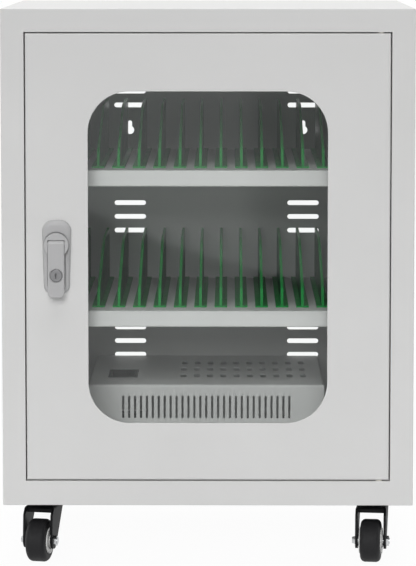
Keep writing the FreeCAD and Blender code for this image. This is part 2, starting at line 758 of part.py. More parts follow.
def power_cover():
    """Folded cover, open below and behind, with side feet, a cable port and rows of vents."""
    body = new_body("power_cover", y=front)
    plan = sketch_on(body, "XY", floor_top)
    rectangle(plan, box_left, size.box_setback, box_right, box_rear)
    block = pad(body, plan, size.box_height)
    names = edges_at(block, ALONG_X, [(size.box_setback, box_top)])
    names += edges_at(block, ALONG_Y, [(box_left, box_top), (box_right, box_top)])
    bent = fillet(body, block, names, size.box_bend)
    doc.recompute()
    low = floor_top.number
    far = box_rear.number
    open_faces = []
    for index, face in enumerate(bent.Shape.Faces, start=1):
        middle = face.CenterOfMass
        if abs(middle.z - low) < SAME_PLACE or abs(middle.y - far) < SAME_PLACE:
            open_faces.append(f"Face{index}")
    shell = body.newObject("PartDesign::Thickness", "power_cover_shell")
    shell.Base = (bent, open_faces)
    shell.Reversed = True
    bind(shell, "Value", size.sheet)
    feet = sketch_on(body, "XY", floor_top)
    rectangle(feet, box_left - size.box_foot, size.box_setback, box_left + size.sheet, box_rear)
    rectangle(feet, box_right - size.sheet, size.box_setback, box_right + size.box_foot, box_rear)
    pad(body, feet, size.sheet)
    cut = size.sheet * 2
    port = sketch_on(body, "XY", box_top)
    rectangle(port, port_x - size.port_width / 2, port_near, port_x + size.port_width / 2, port_far)
    pocket(body, port, cut)
    vent = sketch_on(body, "XY", box_top)
    slot(vent, box_left + size.top_vent_inset, size.box_setback + size.top_vent_setback,
         size.top_vent_length, size.top_vent_width, upright=True)
    repeat_grid(body, [pocket(body, vent, cut)], ("X", size.top_vent_count, size.top_vent_pitch),
                ("Y", size.top_vent_rows, size.top_vent_row_pitch))
    louvre = sketch_on(body, "XZ", -size.box_setback)
    slot(louvre, box_left + size.front_vent_inset, box_top - size.front_vent_drop,
         size.front_vent_length, size.front_vent_width, upright=True)
    repeat(body, [pocket(body, louvre, cut)], "X", size.front_vent_count, size.front_vent_pitch)


def port_liner():
    """Moulded rim that guards cables at the port's sheet edge."""
    body = new_body("cable_port_liner", y=front)
    hole = size.port_width / 2 - size.liner_wall
    near = port_near + size.liner_wall
    far = port_far - size.liner_wall
    flange = sketch_on(body, "XY", box_top)
    reach = size.port_width / 2 + size.liner_flange
    rectangle(flange, port_x - reach, port_near - size.liner_flange,
              port_x + reach, port_far + size.liner_flange)
    rectangle(flange, port_x - hole, near, port_x + hole, far)
    pad(body, flange, size.sheet)
    wall = sketch_on(body, "XY", box_top)
    reach = size.port_width / 2
    rectangle(wall, port_x - reach, port_near, port_x + reach, port_far)
    rectangle(wall, port_x - hole, near, port_x + hole, far)
    pad(body, wall, size.liner_drop, back=True)


def power_supply():
    body = new_body("power_supply", box_left + size.supply_inset, module_y, floor_top)
    plan = sketch_on(body, "XY")
    rectangle(plan, 0, 0, size.supply_width, size.supply_depth)
    case = pad(body, plan, size.supply_height)
    names = edges_along(case, ALONG_Z, lambda middle: True)
    fillet(body, case, names, size.box_bend)


def usb_hub():
    """Charging hub with two rows of outlets along its front."""
    body = new_body("usb_hub", box_left + size.hub_inset, module_y, floor_top)
    plan = sketch_on(body, "XY")
    rectangle(plan, 0, 0, size.hub_width, size.hub_depth)
    pad(body, plan, size.hub_height)
    outlet = sketch_on(body, "XZ")
    x = (size.hub_width - (size.usb_count - 1) * size.usb_pitch) / 2
    z = (size.hub_height - (size.usb_rows - 1) * size.usb_row_pitch) / 2
    rectangle(outlet, x - size.usb_width / 2, z - size.usb_height / 2,
              x + size.usb_width / 2, z + size.usb_height / 2)
    socket = pocket(body, outlet, size.usb_depth)
    repeat_grid(body, [socket], ("X", size.usb_count, size.usb_pitch),
                ("Z", size.usb_rows, size.usb_row_pitch))


def mains_inlet():
    """Three-pin inlet fixed from inside, its rim flush with the back panel."""
    body = new_body("mains_inlet", size.inlet_shift, front + back_outside, size.inlet_height)
    reach = size.inlet_width / 2
    rise = size.inlet_tall / 2
    rim = sketch_on(body, "XZ")
    rectangle(rim, -reach, -rise, reach, rise)
    pad(body, rim, size.sheet + size.inlet_length)
    ears = sketch_on(body, "XZ", size.sheet)
    rectangle(ears, -reach - size.inlet_flange, -rise, reach + size.inlet_flange, rise)
    pad(body, ears, size.inlet_flange_sheet)
    socket = sketch_on(body, "XZ")
    wide = reach - size.inlet_wall
    tall = rise - size.inlet_wall
    clip = size.inlet_corner
    outline(socket, [(-wide, -tall), (wide, -tall), (wide, tall - clip), (wide - clip, tall),
                     (clip - wide, tall), (-wide, tall - clip)])
    pocket(body, socket, size.inlet_socket, back=True)
    pins = sketch_on(body, "XZ", size.inlet_socket)
    for column in (-1, 0, 1):
        x = size.inlet_pin_pitch * column
        z = size.inlet_pin_tall / 2 * (1 - abs(column) * 2)
        rectangle(pins, x - size.inlet_pin_width / 2, z - size.inlet_pin_tall / 2,
                  x + size.inlet_pin_width / 2, z + size.inlet_pin_tall / 2)
    pad(body, pins, size.inlet_pin_length, back=True)


power_cover()
port_liner()
power_supply()
usb_hub()
mains_inlet()


# Door and its hinge

def door_perimeter(tray):
    """Names of the door's four front edges."""
    level = edges_at(tray, ALONG_X, [(0, door_low), (0, door_high)])
    return level + edges_at(tray, ALONG_Z, [(-door_half, 0), (door_half, 0)])


def door_panel():
    """Folded tray: skin with the window, returns all round, an inward hem."""
    body = new_body("door_panel", y=front)
    skin = sketch_on(body, "XZ")
    rectangle(skin, -door_half, door_low, door_half, door_high)
    rounded_rectangle(skin, size.window_width / -2, window_middle - size.window_height / 2,
                      size.window_width / 2, window_middle + size.window_height / 2, size.window_radius)
    pad(body, skin, size.sheet, back=True)
    folds = [(size.sheet, size.sheet, size.door_return - size.sheet * 2),
             (size.door_return - size.sheet, size.door_hem, size.sheet)]
    for deep, inset, length in folds:
        ring = sketch_on(body, "XZ", -deep)
        rectangle(ring, -door_half, door_low, door_half, door_high)
        rectangle(ring, inset - door_half, door_low + inset, door_half - inset, door_high - inset)
        tray = pad(body, ring, length, back=True)
    perimeter = door_perimeter(tray)
    window = [name for name in edges_in_plane(tray, ALONG_Y, 0) if name not in perimeter]
    tray = fillet(body, tray, window, size.window_rim)
    fillet(body, tray, door_perimeter(tray), size.bend)
    pin_holes = sketch_on(body, "XY", door_high)
    circle(pin_holes, hinge_x, size.hinge_setback, pin_bore)
    pocket(body, pin_holes)
    lock_hole = sketch_on(body, "XZ")
    circle(lock_hole, lock_x, size.lock_height, size.sleeve_diameter + size.bolt_gap * 2)
    pocket(body, lock_hole, size.sheet * 2)


def window_glass():
    body = new_body("window_glass", y=front)
    pane = sketch_on(body, "XZ", -size.sheet)
    corner = size.window_radius + size.glass_overlap
    rounded_rectangle(pane, -glass_half_width, window_middle - glass_half_height,
                      glass_half_width, window_middle + glass_half_height, corner)
    pad(body, pane, size.glass_sheet, back=True)


def clip_section(edge, side):
    """A clip's folded section: foot on the door skin, step past the glass edge, tongue on the glass."""
    step = edge + size.face_gap
    foot_top = size.sheet * 2
    tongue = size.sheet + size.glass_sheet
    points = [(step, size.sheet), (step + size.clip_foot, size.sheet), (step + size.clip_foot, foot_top),
              (step + size.sheet, foot_top), (step + size.sheet, tongue + size.sheet),
              (edge - size.clip_foot, tongue + size.sheet), (edge - size.clip_foot, tongue), (step, tongue)]
    return [(out * side, deep) for out, deep in points]


def glass_clips():
    """Folded clips, two on each edge of the glass, in a frame at the window's middle."""
    body = new_body("glass_clips", y=front, z=window_middle)
    upright = sketch_on(body, "XY", size.clip_spread / -2)
    level = sketch_on(body, "YZ", size.clip_spread / -2)
    for side in (-1, 1):
        outline(upright, clip_section(glass_half_width, side))
        outline(level, [(deep, out) for out, deep in clip_section(glass_half_height, side)])
    side_clips = pad(body, upright, size.clip_length, both=True)
    repeat(body, [side_clips], "Z", 2, size.clip_spread)
    end_clips = pad(body, level, size.clip_length, both=True)
    repeat(body, [end_clips], "X", 2, size.clip_spread)


def hinge_pins():
    """Headed pivots dropped through the frame into the door's top and bottom returns."""
    body = new_body("hinge_pins", hinge_x, front + size.hinge_setback)
    section = sketch_on(body, "XZ")
    shank = size.pin_diameter / 2
    head = size.pin_head / 2
    for inside, seat, away in ((door_high - size.pin_reach, opening_high + size.sheet, 1),
                               (door_low + size.pin_reach, opening_low - size.sheet, -1)):
        crown = seat + size.pin_head_height * away
        outline(section, [(0, inside), (shank, inside), (shank, seat), (head, seat),
                          (head, crown), (0, crown)])
    revolve(body, section, "V")


def hinge_washers():
    body = new_body("hinge_washers", hinge_x, front + size.hinge_setback)
    section = sketch_on(body, "XZ")
    inner = pin_bore / 2
    outer = size.washer_diameter / 2
    thick = size.door_gap - size.running_gap * 2
    rectangle(section, inner, opening_low, outer, opening_low + thick)
    rectangle(section, inner, opening_high - thick, outer, opening_high)
    revolve(body, section, "V")


def door_bumpers():
    body = new_body("door_bumpers", y=front)
    seat = sketch_on(body, "XZ", -size.frame_return)
    x = size.stop_lip / 2 - opening
    for side in (-1, 1):
        circle(seat, x, window_middle + size.bumper_spread / 2 * side, size.bumper_diameter)
    pad(body, seat, size.frame_return - size.door_return - size.face_gap)


door_panel()
window_glass()
glass_clips()
hinge_pins()
hinge_washers()
door_bumpers()


# Swing-handle lock, in a frame on the door face at the turret axis. Outwards is -Y.

turret_back = size.housing_height - size.turret_seat + size.face_gap
turret_front = size.housing_height + size.turret_rise
lever_axis = lever_back + size.lever_height / 2
cam_near = size.frame_return + size.sheet + size.cam_clearance
cam_far = cam_near + size.cam_sheet
lever_bore = size.lever_pin + size.running_gap * 2
lever_top = size.lever_rise + size.lever_height / 2


def lock_body(label):
    return new_body(label, lock_x, front, size.lock_height)


def lock_housing():
    """Cast housing: tapered outline, rounded rim, turret recess, sleeve through the door."""
    body = lock_body("lock_housing")
    plan = sketch_on(body, "XZ")
    outline(plan, [(size.housing_width / -2, size.housing_rise), (size.housing_tail / -2, -size.housing_drop),
                   (size.housing_tail / 2, -size.housing_drop), (size.housing_width / 2, size.housing_rise)])
    cast = pad(body, plan, size.housing_height)
    cast = fillet(body, cast, edges_along(cast, ALONG_Y, lambda middle: middle.z > 0), size.housing_corner)
    low = size.housing_heel.number - size.housing_drop.number
    cast = fillet(body, cast, edges_along(cast, ALONG_Y, lambda middle: middle.z < low), size.housing_heel)
    rim = edges_in_plane(cast, ALONG_Y, -size.housing_height.number)
    fillet(body, cast, rim, size.housing_edge)
    recess = sketch_on(body, "XZ", size.housing_height)
    circle(recess, 0, 0, size.turret_diameter + size.lock_groove * 2)
    pocket(body, recess, size.turret_seat)
    trough = sketch_on(body, "XZ", size.housing_height)
    wide = size.lever_width / 2 + size.lock_groove
    rectangle(trough, -wide, size.housing_heel - size.housing_drop, wide, 0)
    pocket(body, trough, size.turret_seat)
    sleeve = sketch_on(body, "XZ")
    circle(sleeve, 0, 0, size.sleeve_diameter)
    pad(body, sleeve, size.sheet + size.nut_height + size.sheet, back=True)
    bore = sketch_on(body, "XZ")
    circle(bore, 0, 0, size.spindle_diameter + size.running_gap * 2)
    pocket(body, bore, both=True)


def lock_nut():
    body = lock_body("lock_nut")
    plan = sketch_on(body, "XZ", -size.sheet)
    hexagon(plan, 0, 0, size.nut_across)
    circle(plan, 0, 0, size.sleeve_diameter + size.bolt_gap * 2)
    pad(body, plan, size.nut_height, back=True)


def lock_spindle():
    """Turned turret and shaft with a square end, slotted for the lever root."""
    body = lock_body("lock_spindle")
    section = sketch_on(body, "YZ")
    shaft = size.spindle_diameter / 2
    rim = size.turret_diameter / 2
    outline(section, [(-turret_front, 0), (-turret_front, rim), (-turret_back, rim), (-turret_back, shaft),
                      (cam_near, shaft), (cam_near, 0)])
    revolve(body, section, "H")
    drive = sketch_on(body, "XZ", -cam_near)
    reach = size.square_drive / 2
    rectangle(drive, -reach, -reach, reach, reach)
    pad(body, drive, size.cam_sheet, back=True)
    root = sketch_on(body, "XZ", turret_front)
    wide = size.lever_width / 2 + size.face_gap
    rectangle(root, -wide, -rim - size.face_gap, wide, lever_top + size.face_gap)
    pocket(body, root, turret_front - lever_back + size.face_gap)
    pin_hole = sketch_on(body, "YZ")
    circle(pin_hole, -lever_axis, size.lever_rise, lever_bore)
    pocket(body, pin_hole, both=True)
    screw_hole = sketch_on(body, "XZ", -cam_far)
    circle(screw_hole, 0, 0, size.cam_screw_shank + size.running_gap * 2)
    pocket(body, screw_hole, size.cam_screw_length + size.cam_sheet, back=True)


def lock_cam():
    """Flat bolt tongue on the spindle's square, standing up while it is drawn."""
    body = lock_body("lock_cam")
    plan = sketch_on(body, "XZ", -cam_near)
    slot(plan, 0, (size.cam_length - size.cam_width / 2) / 2, size.cam_length + size.cam_width / 2,
         size.cam_width, upright=True)
    reach = size.square_drive / 2 + size.running_gap
    rectangle(plan, -reach, -reach, reach, reach)
    pad(body, plan, size.cam_sheet, back=True)


def cam_screw():
    body = lock_body("cam_screw")
    section = sketch_on(body, "YZ")
    shank = size.cam_screw_shank / 2
    head = size.cam_screw_head / 2
    inside = cam_far - size.cam_screw_length
    outline(section, [(inside, 0), (inside, shank), (cam_far, shank), (cam_far, head),
                      (cam_far + shank, head), (cam_far + shank, 0)])
    revolve(body, section, "H")


def lock_lever():
    """Cast lever: round root on its pin, round tip, softened front edges, bored for the key cylinder."""
    body = lock_body("lock_lever")
    side = sketch_on(body, "YZ")
    slot(side, -lever_axis, (lever_top - size.lever_drop) / 2, size.lever_drop + lever_top,
         size.lever_height, upright=True)
    bar = pad(body, side, size.lever_width, both=True)
    tip = sketch_on(body, "YZ")
    rectangle(tip, -lever_front, -size.lever_drop, -lever_back, size.lever_height / 2 - size.lever_drop)
    bar = pad(body, tip, size.lever_width, both=True)
    low = size.lever_tip.number - size.lever_drop.number
    bar = fillet(body, bar, edges_along(bar, ALONG_Y, lambda middle: middle.z < low), size.lever_tip)
    rim = edges_in_plane(bar, ALONG_Y, -lever_front.number)
    fillet(body, bar, rim, size.lever_edge)
    pin_hole = sketch_on(body, "YZ")
    circle(pin_hole, -lever_axis, size.lever_rise, lever_bore)
    pocket(body, pin_hole, both=True)
    key_bore = sketch_on(body, "XZ")
    circle(key_bore, 0, -size.key_drop, size.key_diameter + size.running_gap * 2)
    pocket(body, key_bore, both=True)
    groove = sketch_on(body, "XZ", lever_front)
    circle(groove, 0, -size.key_drop, size.key_diameter + size.lock_groove * 2)
    pocket(body, groove, size.lever_edge)


def lever_pin():
    body = lock_body("lever_pin")
    end = sketch_on(body, "YZ")
    circle(end, -lever_axis, size.lever_rise, size.lever_pin)
    pad(body, end, size.turret_diameter - size.lever_pin, both=True)


def key_cylinder():
    """Turned plug with its key slot, in a frame on its own axis."""
    body = new_body("key_cylinder", lock_x, front, size.lock_height - size.key_drop)
    section = sketch_on(body, "YZ")
    rim = size.key_diameter / 2
    inside = -lever_back - size.face_gap
    outline(section, [(inside, 0), (inside, rim), (-lever_front, rim), (-lock_reach, rim - size.key_proud),
                      (-lock_reach, 0)])
    revolve(body, section, "H")
    keyway = sketch_on(body, "XZ", lock_reach)
    slot(keyway, 0, 0, size.keyway_height, size.keyway_width, upright=True)
    pocket(body, keyway, size.keyway_depth)


lock_housing()
lock_nut()
lock_spindle()
lock_cam()
cam_screw()
lock_lever()
lever_pin()
key_cylinder()


# Casters

plate_low = bottom - size.plate_sheet
crown_top = size.crown_height + size.crown_sheet
cup_top = crown_top + size.cup_height
wheel_radius = size.wheel_diameter / 2
leg_out = size.fork_width / 2
leg_in = leg_out - size.fork_leg
axle_bore = size.axle + size.running_gap * 2


def caster_plate(label, x, y):
    """Bolted plate with the fixed raceway and a headed kingpin through the fork crown."""
    body = new_body(label, x, y)
    plan = sketch_on(body, "XY", plate_low)
    edge = size.plate_width / 2
    reach = size.bolt_spread / 2
    rectangle(plan, -edge, -edge, edge, edge)
    for across in (-1, 1):
        for along in (-1, 1):
            circle(plan, reach * across, reach * along, size.bolt_diameter + size.bolt_gap * 2)
    plate = pad(body, plan, size.plate_sheet)
    corner = edge.number - SAME_PLACE
    names = edges_along(plate, ALONG_Z, lambda middle: min(abs(middle.x), abs(middle.y)) > corner)
    fillet(body, plate, names, size.bolt_diameter)
    section = sketch_on(body, "XZ")
    race = size.race_diameter / 2
    pin = size.kingpin / 2
    head = size.kingpin_head / 2
    race_low = cup_top + size.face_gap
    head_top = size.crown_height - size.face_gap
    head_low = head_top - size.kingpin_head_height
    outline(section, [(0, plate_low), (race, plate_low), (race - size.crown_sheet, race_low), (pin, race_low),
                      (pin, head_top), (head, head_top), (head, head_low), (0, head_low)])
    revolve(body, section, "V")


def caster_fork(label, x, y, turn):
    """Pressed fork: tapering legs with round ends, a flanged crown and the turning raceway."""
    body = new_body(label, x, y, turn=turn)
    side = sketch_on(body, "YZ")
    reach = size.crown_length / 2
    rear = FreeCAD.Vector(reach.number, crown_top.number, 0)
    fore = FreeCAD.Vector(-reach.number, crown_top.number, 0)
    knee_out = reach + size.knee_reach
    knee_up = crown_top - size.knee_drop
    knee = FreeCAD.Vector(-knee_out.number, knee_up.number, 0)
    tip = arc(-size.trail, wheel_radius, size.leg_round, 180, 360)
    ends = [FreeCAD.Vector(number_of(step - size.trail), wheel_radius.number, 0)
            for step in (-size.leg_round, size.leg_round)]
    side.addGeometry([Part.LineSegment(rear, fore), Part.LineSegment(fore, knee),
                      Part.LineSegment(knee, ends[0]), tip, Part.LineSegment(ends[1], rear)], False)
    side.addConstraint(Sketcher.Constraint("Coincident", 0, 2, 1, 1))
    side.addConstraint(Sketcher.Constraint("Coincident", 1, 2, 2, 1))
    side.addConstraint(Sketcher.Constraint("Coincident", 4, 2, 0, 1))
    tangent_ends(side, (2, 2, 3, 1), (3, 2, 4, 1))
    hold_point(side, 0, 1, reach, crown_top)
    hold_point(side, 0, 2, -reach, crown_top)
    hold_point(side, 1, 2, -knee_out, knee_up)
    hold_point(side, 3, 3, -size.trail, wheel_radius)
    hold(side, "Radius", size.leg_round, 3)
    pad(body, side, size.fork_width, both=True)
    mouth = sketch_on(body, "XZ")
    rectangle(mouth, -leg_in, 0, leg_in, size.crown_height)
    pressed = pocket(body, mouth, both=True)
    outside = [(leg_out * hand, crown_top) for hand in (-1, 1)]
    inside = [(leg_in * hand, size.crown_height) for hand in (-1, 1)]
    pressed = fillet(body, pressed, edges_at(pressed, ALONG_Y, outside), size.crown_round)
    fillet(body, pressed, edges_at(pressed, ALONG_Y, inside), size.crown_round - size.crown_sheet)
    flange = sketch_on(body, "YZ")
    low = size.crown_height - size.crown_flange
    rectangle(flange, -reach, low, size.crown_sheet - reach, crown_top)
    pad(body, flange, leg_in * 2, both=True)
    cup = sketch_on(body, "XZ")
    rim = size.cup_diameter / 2
    outline(cup, [(0, size.crown_height), (rim, size.crown_height), (rim, crown_top),
                  (rim - size.crown_sheet, cup_top), (0, cup_top)])
    revolve(body, cup, "V")
    bore = sketch_on(body, "XY", cup_top)
    circle(bore, 0, 0, size.kingpin + size.running_gap * 2)
    pocket(body, bore)
    axle_hole = sketch_on(body, "YZ")
    circle(axle_hole, -size.trail, wheel_radius, axle_bore)
    pocket(body, axle_hole, both=True)


def wheel_body(label, x, y, turn):
    """A sub-part in a frame at the wheel's middle, X along the axle."""
    return new_body(label, x + size.trail * sine(turn), y - size.trail * cosine(turn), wheel_radius, turn)


def caster_axle(label, x, y, turn):
    """Bolt with a domed head and a hexagon nut."""
    body = wheel_body(label, x, y, turn)
    section = sketch_on(body, "XZ")
    shank = size.axle / 2
    head = size.axle_head / 2
    domed = size.axle_head_height
    end = leg_out + domed
    outline(section, [(-end, 0), (-end, shank), (-leg_out - domed / 2, head - domed / 4), (-leg_out, head),
                      (-leg_out, shank), (end, shank), (end, 0)])
    revolve(body, section, "H")
    nut = sketch_on(body, "YZ", leg_out)
    hexagon(nut, 0, 0, size.axle_head)
    pad(body, nut, size.axle_nut)


def caster_hub(label, x, y, turn):
    """Moulded hub: long centre, thin web, wide rim."""
    body = wheel_body(label, x, y, turn)
    section = sketch_on(body, "XZ")
    bore = axle_bore / 2
    boss = size.hub_boss / 2
    seat = size.rim_diameter / 2
    inner = seat - size.rim_depth
    end = leg_in - size.hub_side_gap
    rim = size.rim_width / 2
    web = size.web / 2
    outline(section, [(-end, bore), (-end, boss), (-web, boss), (-web, inner), (-rim, inner), (-rim, seat),
                      (rim, seat), (rim, inner), (web, inner), (web, boss), (end, boss), (end, bore)])
    revolve(body, section, "H")


def caster_tyre(label, x, y, turn):
    body = wheel_body(label, x, y, turn)
    section = sketch_on(body, "XZ")
    edge = size.tyre_width / 2
    rectangle(section, -edge, size.rim_diameter / 2, edge, wheel_radius)
    band = revolve(body, section, "H")
    doc.recompute()
    names = []
    for index, rim in enumerate(band.Shape.Edges, start=1):
        if rim.Curve.TypeId == "Part::GeomCircle" and rim.Curve.Radius > wheel_radius.number - SAME_PLACE:
            names.append(f"Edge{index}")
    fillet(body, band, names, size.tyre_round)


def caster_bolts():
    """Hexagon bolts and nuts that hold the four plates under the floor panel."""
    body = new_body("caster_bolts", y=front)
    for inset, deep in CASTER_PAIRS:
        heads = sketch_on(body, "XY", plate_low)
        shanks = sketch_on(body, "XY", plate_low)
        nuts = sketch_on(body, "XY", floor_top)
        for x, y in caster_bolt_spots(inset, deep):
            hexagon(heads, x, y, size.bolt_across)
            circle(shanks, x, y, size.bolt_diameter)
            hexagon(nuts, x, y, size.bolt_across)
        head = pad(body, heads, size.bolt_head, back=True)
        shank = pad(body, shanks, size.plate_sheet + size.sheet + size.bolt_head + size.sheet)
        nut = pad(body, nuts, size.bolt_head)
        repeat(body, [head, shank, nut], "X", 2, size.width - inset * 2)


CASTER_TURNS = [("front", size.turn_front_left, size.turn_front_right),
                ("rear", size.turn_rear_left, size.turn_rear_right)]
CASTERS = []
for (inset, deep), (end, turn_left, turn_right) in zip(CASTER_PAIRS, CASTER_TURNS):
    CASTERS.append((end + "_left", inset - half, front + deep, turn_left))
    CASTERS.append((end + "_right", half - inset, front + deep, turn_right))
for corner, x, y, turn in CASTERS:
    caster_plate("caster_plate_" + corner, x, y)
    caster_fork("fork_" + corner, x, y, turn)
    caster_axle("axle_" + corner, x, y, turn)
    caster_hub("hub_" + corner, x, y, turn)
    caster_tyre("tyre_" + corner, x, y, turn)
caster_bolts()


# Every object is sound before anything is written

doc.recompute()
for thing in doc.Objects:
    if "Invalid" in thing.State or "Error" in thing.State:
        raise RuntimeError(f"{thing.Label} failed: {thing.State}")
for body in NODES:
    if body.Shape.isNull() or not body.Shape.isValid() or not body.Shape.Solids:
        raise RuntimeError(f"{body.Label} has no sound shape")

os.makedirs("parts", exist_ok=True)
for body in NODES:
    body.Shape.exportStep(f"parts/{body.Label}.step")
print(len(NODES), "sub-parts written")
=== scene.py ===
import bpy
import math
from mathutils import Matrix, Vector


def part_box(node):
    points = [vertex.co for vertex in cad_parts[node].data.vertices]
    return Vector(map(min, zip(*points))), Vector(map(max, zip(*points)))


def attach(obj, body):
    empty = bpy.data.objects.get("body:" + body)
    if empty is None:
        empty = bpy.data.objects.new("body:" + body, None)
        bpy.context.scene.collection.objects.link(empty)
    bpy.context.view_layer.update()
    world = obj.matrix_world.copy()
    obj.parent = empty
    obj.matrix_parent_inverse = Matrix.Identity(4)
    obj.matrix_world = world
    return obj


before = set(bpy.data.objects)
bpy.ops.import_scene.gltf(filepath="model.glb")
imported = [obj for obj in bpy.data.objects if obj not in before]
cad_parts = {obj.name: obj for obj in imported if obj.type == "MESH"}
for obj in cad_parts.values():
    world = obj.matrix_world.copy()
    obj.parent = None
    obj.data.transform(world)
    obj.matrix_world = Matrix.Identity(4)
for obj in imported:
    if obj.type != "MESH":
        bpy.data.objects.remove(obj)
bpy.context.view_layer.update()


# Viewpoint: a long lens a few metres in front of the cabinet and a little above its top,
# so that the lid shows as a thin strip and the inside is looked down into.
# The lens is shifted a little and the camera leans down, which keeps the sides near upright.

lens_length = 189.17
lens_shift = -0.14
film_size = 36
eye_place = (0.0252, -3.7707, 0.783)
lean_down = math.radians(5.32)
look_aside = math.radians(0.4)


def add_object(name, data):
    """An object of the scene that holds a camera, a lamp or a mesh."""
    made = bpy.data.objects.new(name, data)
    bpy.context.scene.collection.objects.link(made)
    return made


viewpoint = add_object("viewpoint", bpy.data.cameras.new("viewpoint"))
viewpoint.data.lens = lens_length
viewpoint.data.sensor_width = film_size
viewpoint.data.shift_y = lens_shift
viewpoint.location = eye_place
viewpoint.rotation_euler = (math.pi / 2 - lean_down, 0, look_aside)
bpy.context.scene.camera = viewpoint
bpy.context.scene.view_settings.view_transform = "Standard"


# Studio: a pale paper floor, soft lamps in front that reach into the bays, one overhead and weaker
# ones around. Paper and surroundings look white to the eye and in reflections, except in front:
# there, glass and metal mirror a softbox on the left and the dark working side on the right.

class Wire:
    """A socket of a node tree. Sums on wires add Math nodes, and node() adds any other node."""

    def __init__(self, tree, socket=None):
        self.tree = tree
        self.socket = socket

    def node(self, kind, settings=None, inputs=None, output=0):
        made = self.tree.nodes.new(kind)
        for name, value in (settings or {}).items():
            setattr(made, name, value)
        for name, value in (inputs or {}).items():
            if isinstance(value, Wire):
                self.tree.links.new(value.socket, made.inputs[name])
            else:
                made.inputs[name].default_value = value
        return Wire(self.tree, made.outputs[output] if made.outputs else None)

    def also(self, output):
        """Another output of the node that this wire comes from."""
        return Wire(self.tree, self.socket.node.outputs[output])

    def maths(self, operation, one, two):
        return self.node("ShaderNodeMath", {"operation": operation}, {0: one, 1: two})

    def __add__(self, other):
        return self.maths("ADD", self, other)

    def __sub__(self, other):
        return self.maths("SUBTRACT", self, other)

    def __rsub__(self, other):
        return self.maths("SUBTRACT", other, self)

    def __mul__(self, other):
        return self.maths("MULTIPLY", self, other)

    def __gt__(self, other):
        return self.maths("GREATER_THAN", self, other)

    def __pow__(self, other):
        return self.maths("POWER", self, other)

    __radd__ = __add__
    __rmul__ = __mul__

    def larger(self, other):
        return self.maths("MAXIMUM", self, other)

    def span(self, low, high, start=0.0, end=1.0):
        """This value's way from low to high, as a value from start to end."""
        return self.node("ShaderNodeMapRange", {}, {
            "Value": self, "From Min": low, "From Max": high, "To Min": start, "To Max": end})

    def spread(self, start=0.0, end=1.0):
        """Noise, which keeps mostly between 0.3 and 0.7, as a value from start to end."""
        return self.span(0.3, 0.7, start, end)

    def blend(self, one, two):
        """Colour one where this is 0, colour two where it is 1. The Mix node has colours at 6 and 7."""
        return self.node("ShaderNodeMix", {"data_type": "RGBA"}, {0: self, 6: one, 7: two}, 2)

    def part(self, axis):
        """The X, Y or Z of a vector."""
        return self.node("ShaderNodeSeparateXYZ", {}, {0: self}, "XYZ".index(axis))

    def place(self, kind="Object"):
        return self.node("ShaderNodeTexCoord").also(kind)

    def stretched(self, scale):
        """Object coordinates scaled along each axis, which draws a pattern out."""
        return self.node("ShaderNodeMapping", {}, {"Vector": self.place(), "Scale": scale})

    def noise(self, scale, detail=2.0, spot=None):
        """Even noise about 0.5, on Object coordinates or a given spot, with its scale per metre."""
        return self.node("ShaderNodeTexNoise", {}, {
            "Vector": spot or self.place(), "Scale": scale, "Detail": detail})

    def bump(self, height, depth, strength):
        return self.node("ShaderNodeBump", {}, {
            "Height": height, "Distance": depth, "Strength": strength})

    def ray(self, kind):
        return self.node("ShaderNodeLightPath").also(kind)


def new_finish(name):
    """A material with an empty tree, and the wire that its nodes start from."""
    made = bpy.data.materials.new(name)
    made.use_nodes = True
    made.node_tree.nodes.clear()
    return made, Wire(made.node_tree)


def show(wire, shader):
    wire.node("ShaderNodeOutputMaterial", {}, {"Surface": shader})


room_light = 0.024
softbox_shine = 0.64
softbox_edge = (0.004, 0.012)
working_side_shine = 0.096
working_side_reach = (-0.9, 0.3)
surroundings = bpy.data.worlds.new("surroundings")
surroundings.use_nodes = True
surroundings.node_tree.nodes.clear()
sky = Wire(surroundings.node_tree)
heading = sky.place("Generated")
open_side = heading.part("Y").span(*working_side_reach)
softbox = heading.part("X").span(*softbox_edge, softbox_shine, working_side_shine)
mirrored = open_side + (1 - open_side) * softbox
seen = sky.ray("Is Camera Ray").larger(sky.ray("Is Transmission Ray"))
glossy = sky.ray("Is Glossy Ray")
strength = seen + (1 - seen) * (glossy * mirrored + (1 - glossy) * room_light)
sky.node("ShaderNodeOutputWorld", {}, {
    "Surface": sky.node("ShaderNodeBackground", {}, {"Color": (1, 1, 1, 1), "Strength": strength})})
bpy.context.scene.world = surroundings


def add_lamp(name, height, aside, power, softness):
    """Distant soft light, height above the horizon and aside from straight in front, in degrees."""
    lamp = add_object(name, bpy.data.lights.new(name, "SUN"))
    lamp.data.energy = power * math.pi
    lamp.data.angle = math.radians(softness)
    lamp.rotation_euler = (math.radians(90 - height), 0, math.radians(aside))


add_lamp("front_lamp", height=24, aside=-6, power=0.44, softness=30)
add_lamp("low_lamp", height=8, aside=4, power=0.05, softness=30)
add_lamp("top_lamp", height=86, aside=0, power=0.5, softness=60)
add_lamp("left_lamp", height=12, aside=-105, power=0.15, softness=40)
add_lamp("right_lamp", height=12, aside=105, power=0.15, softness=40)
add_lamp("back_lamp", height=52, aside=180, power=0.2, softness=30)

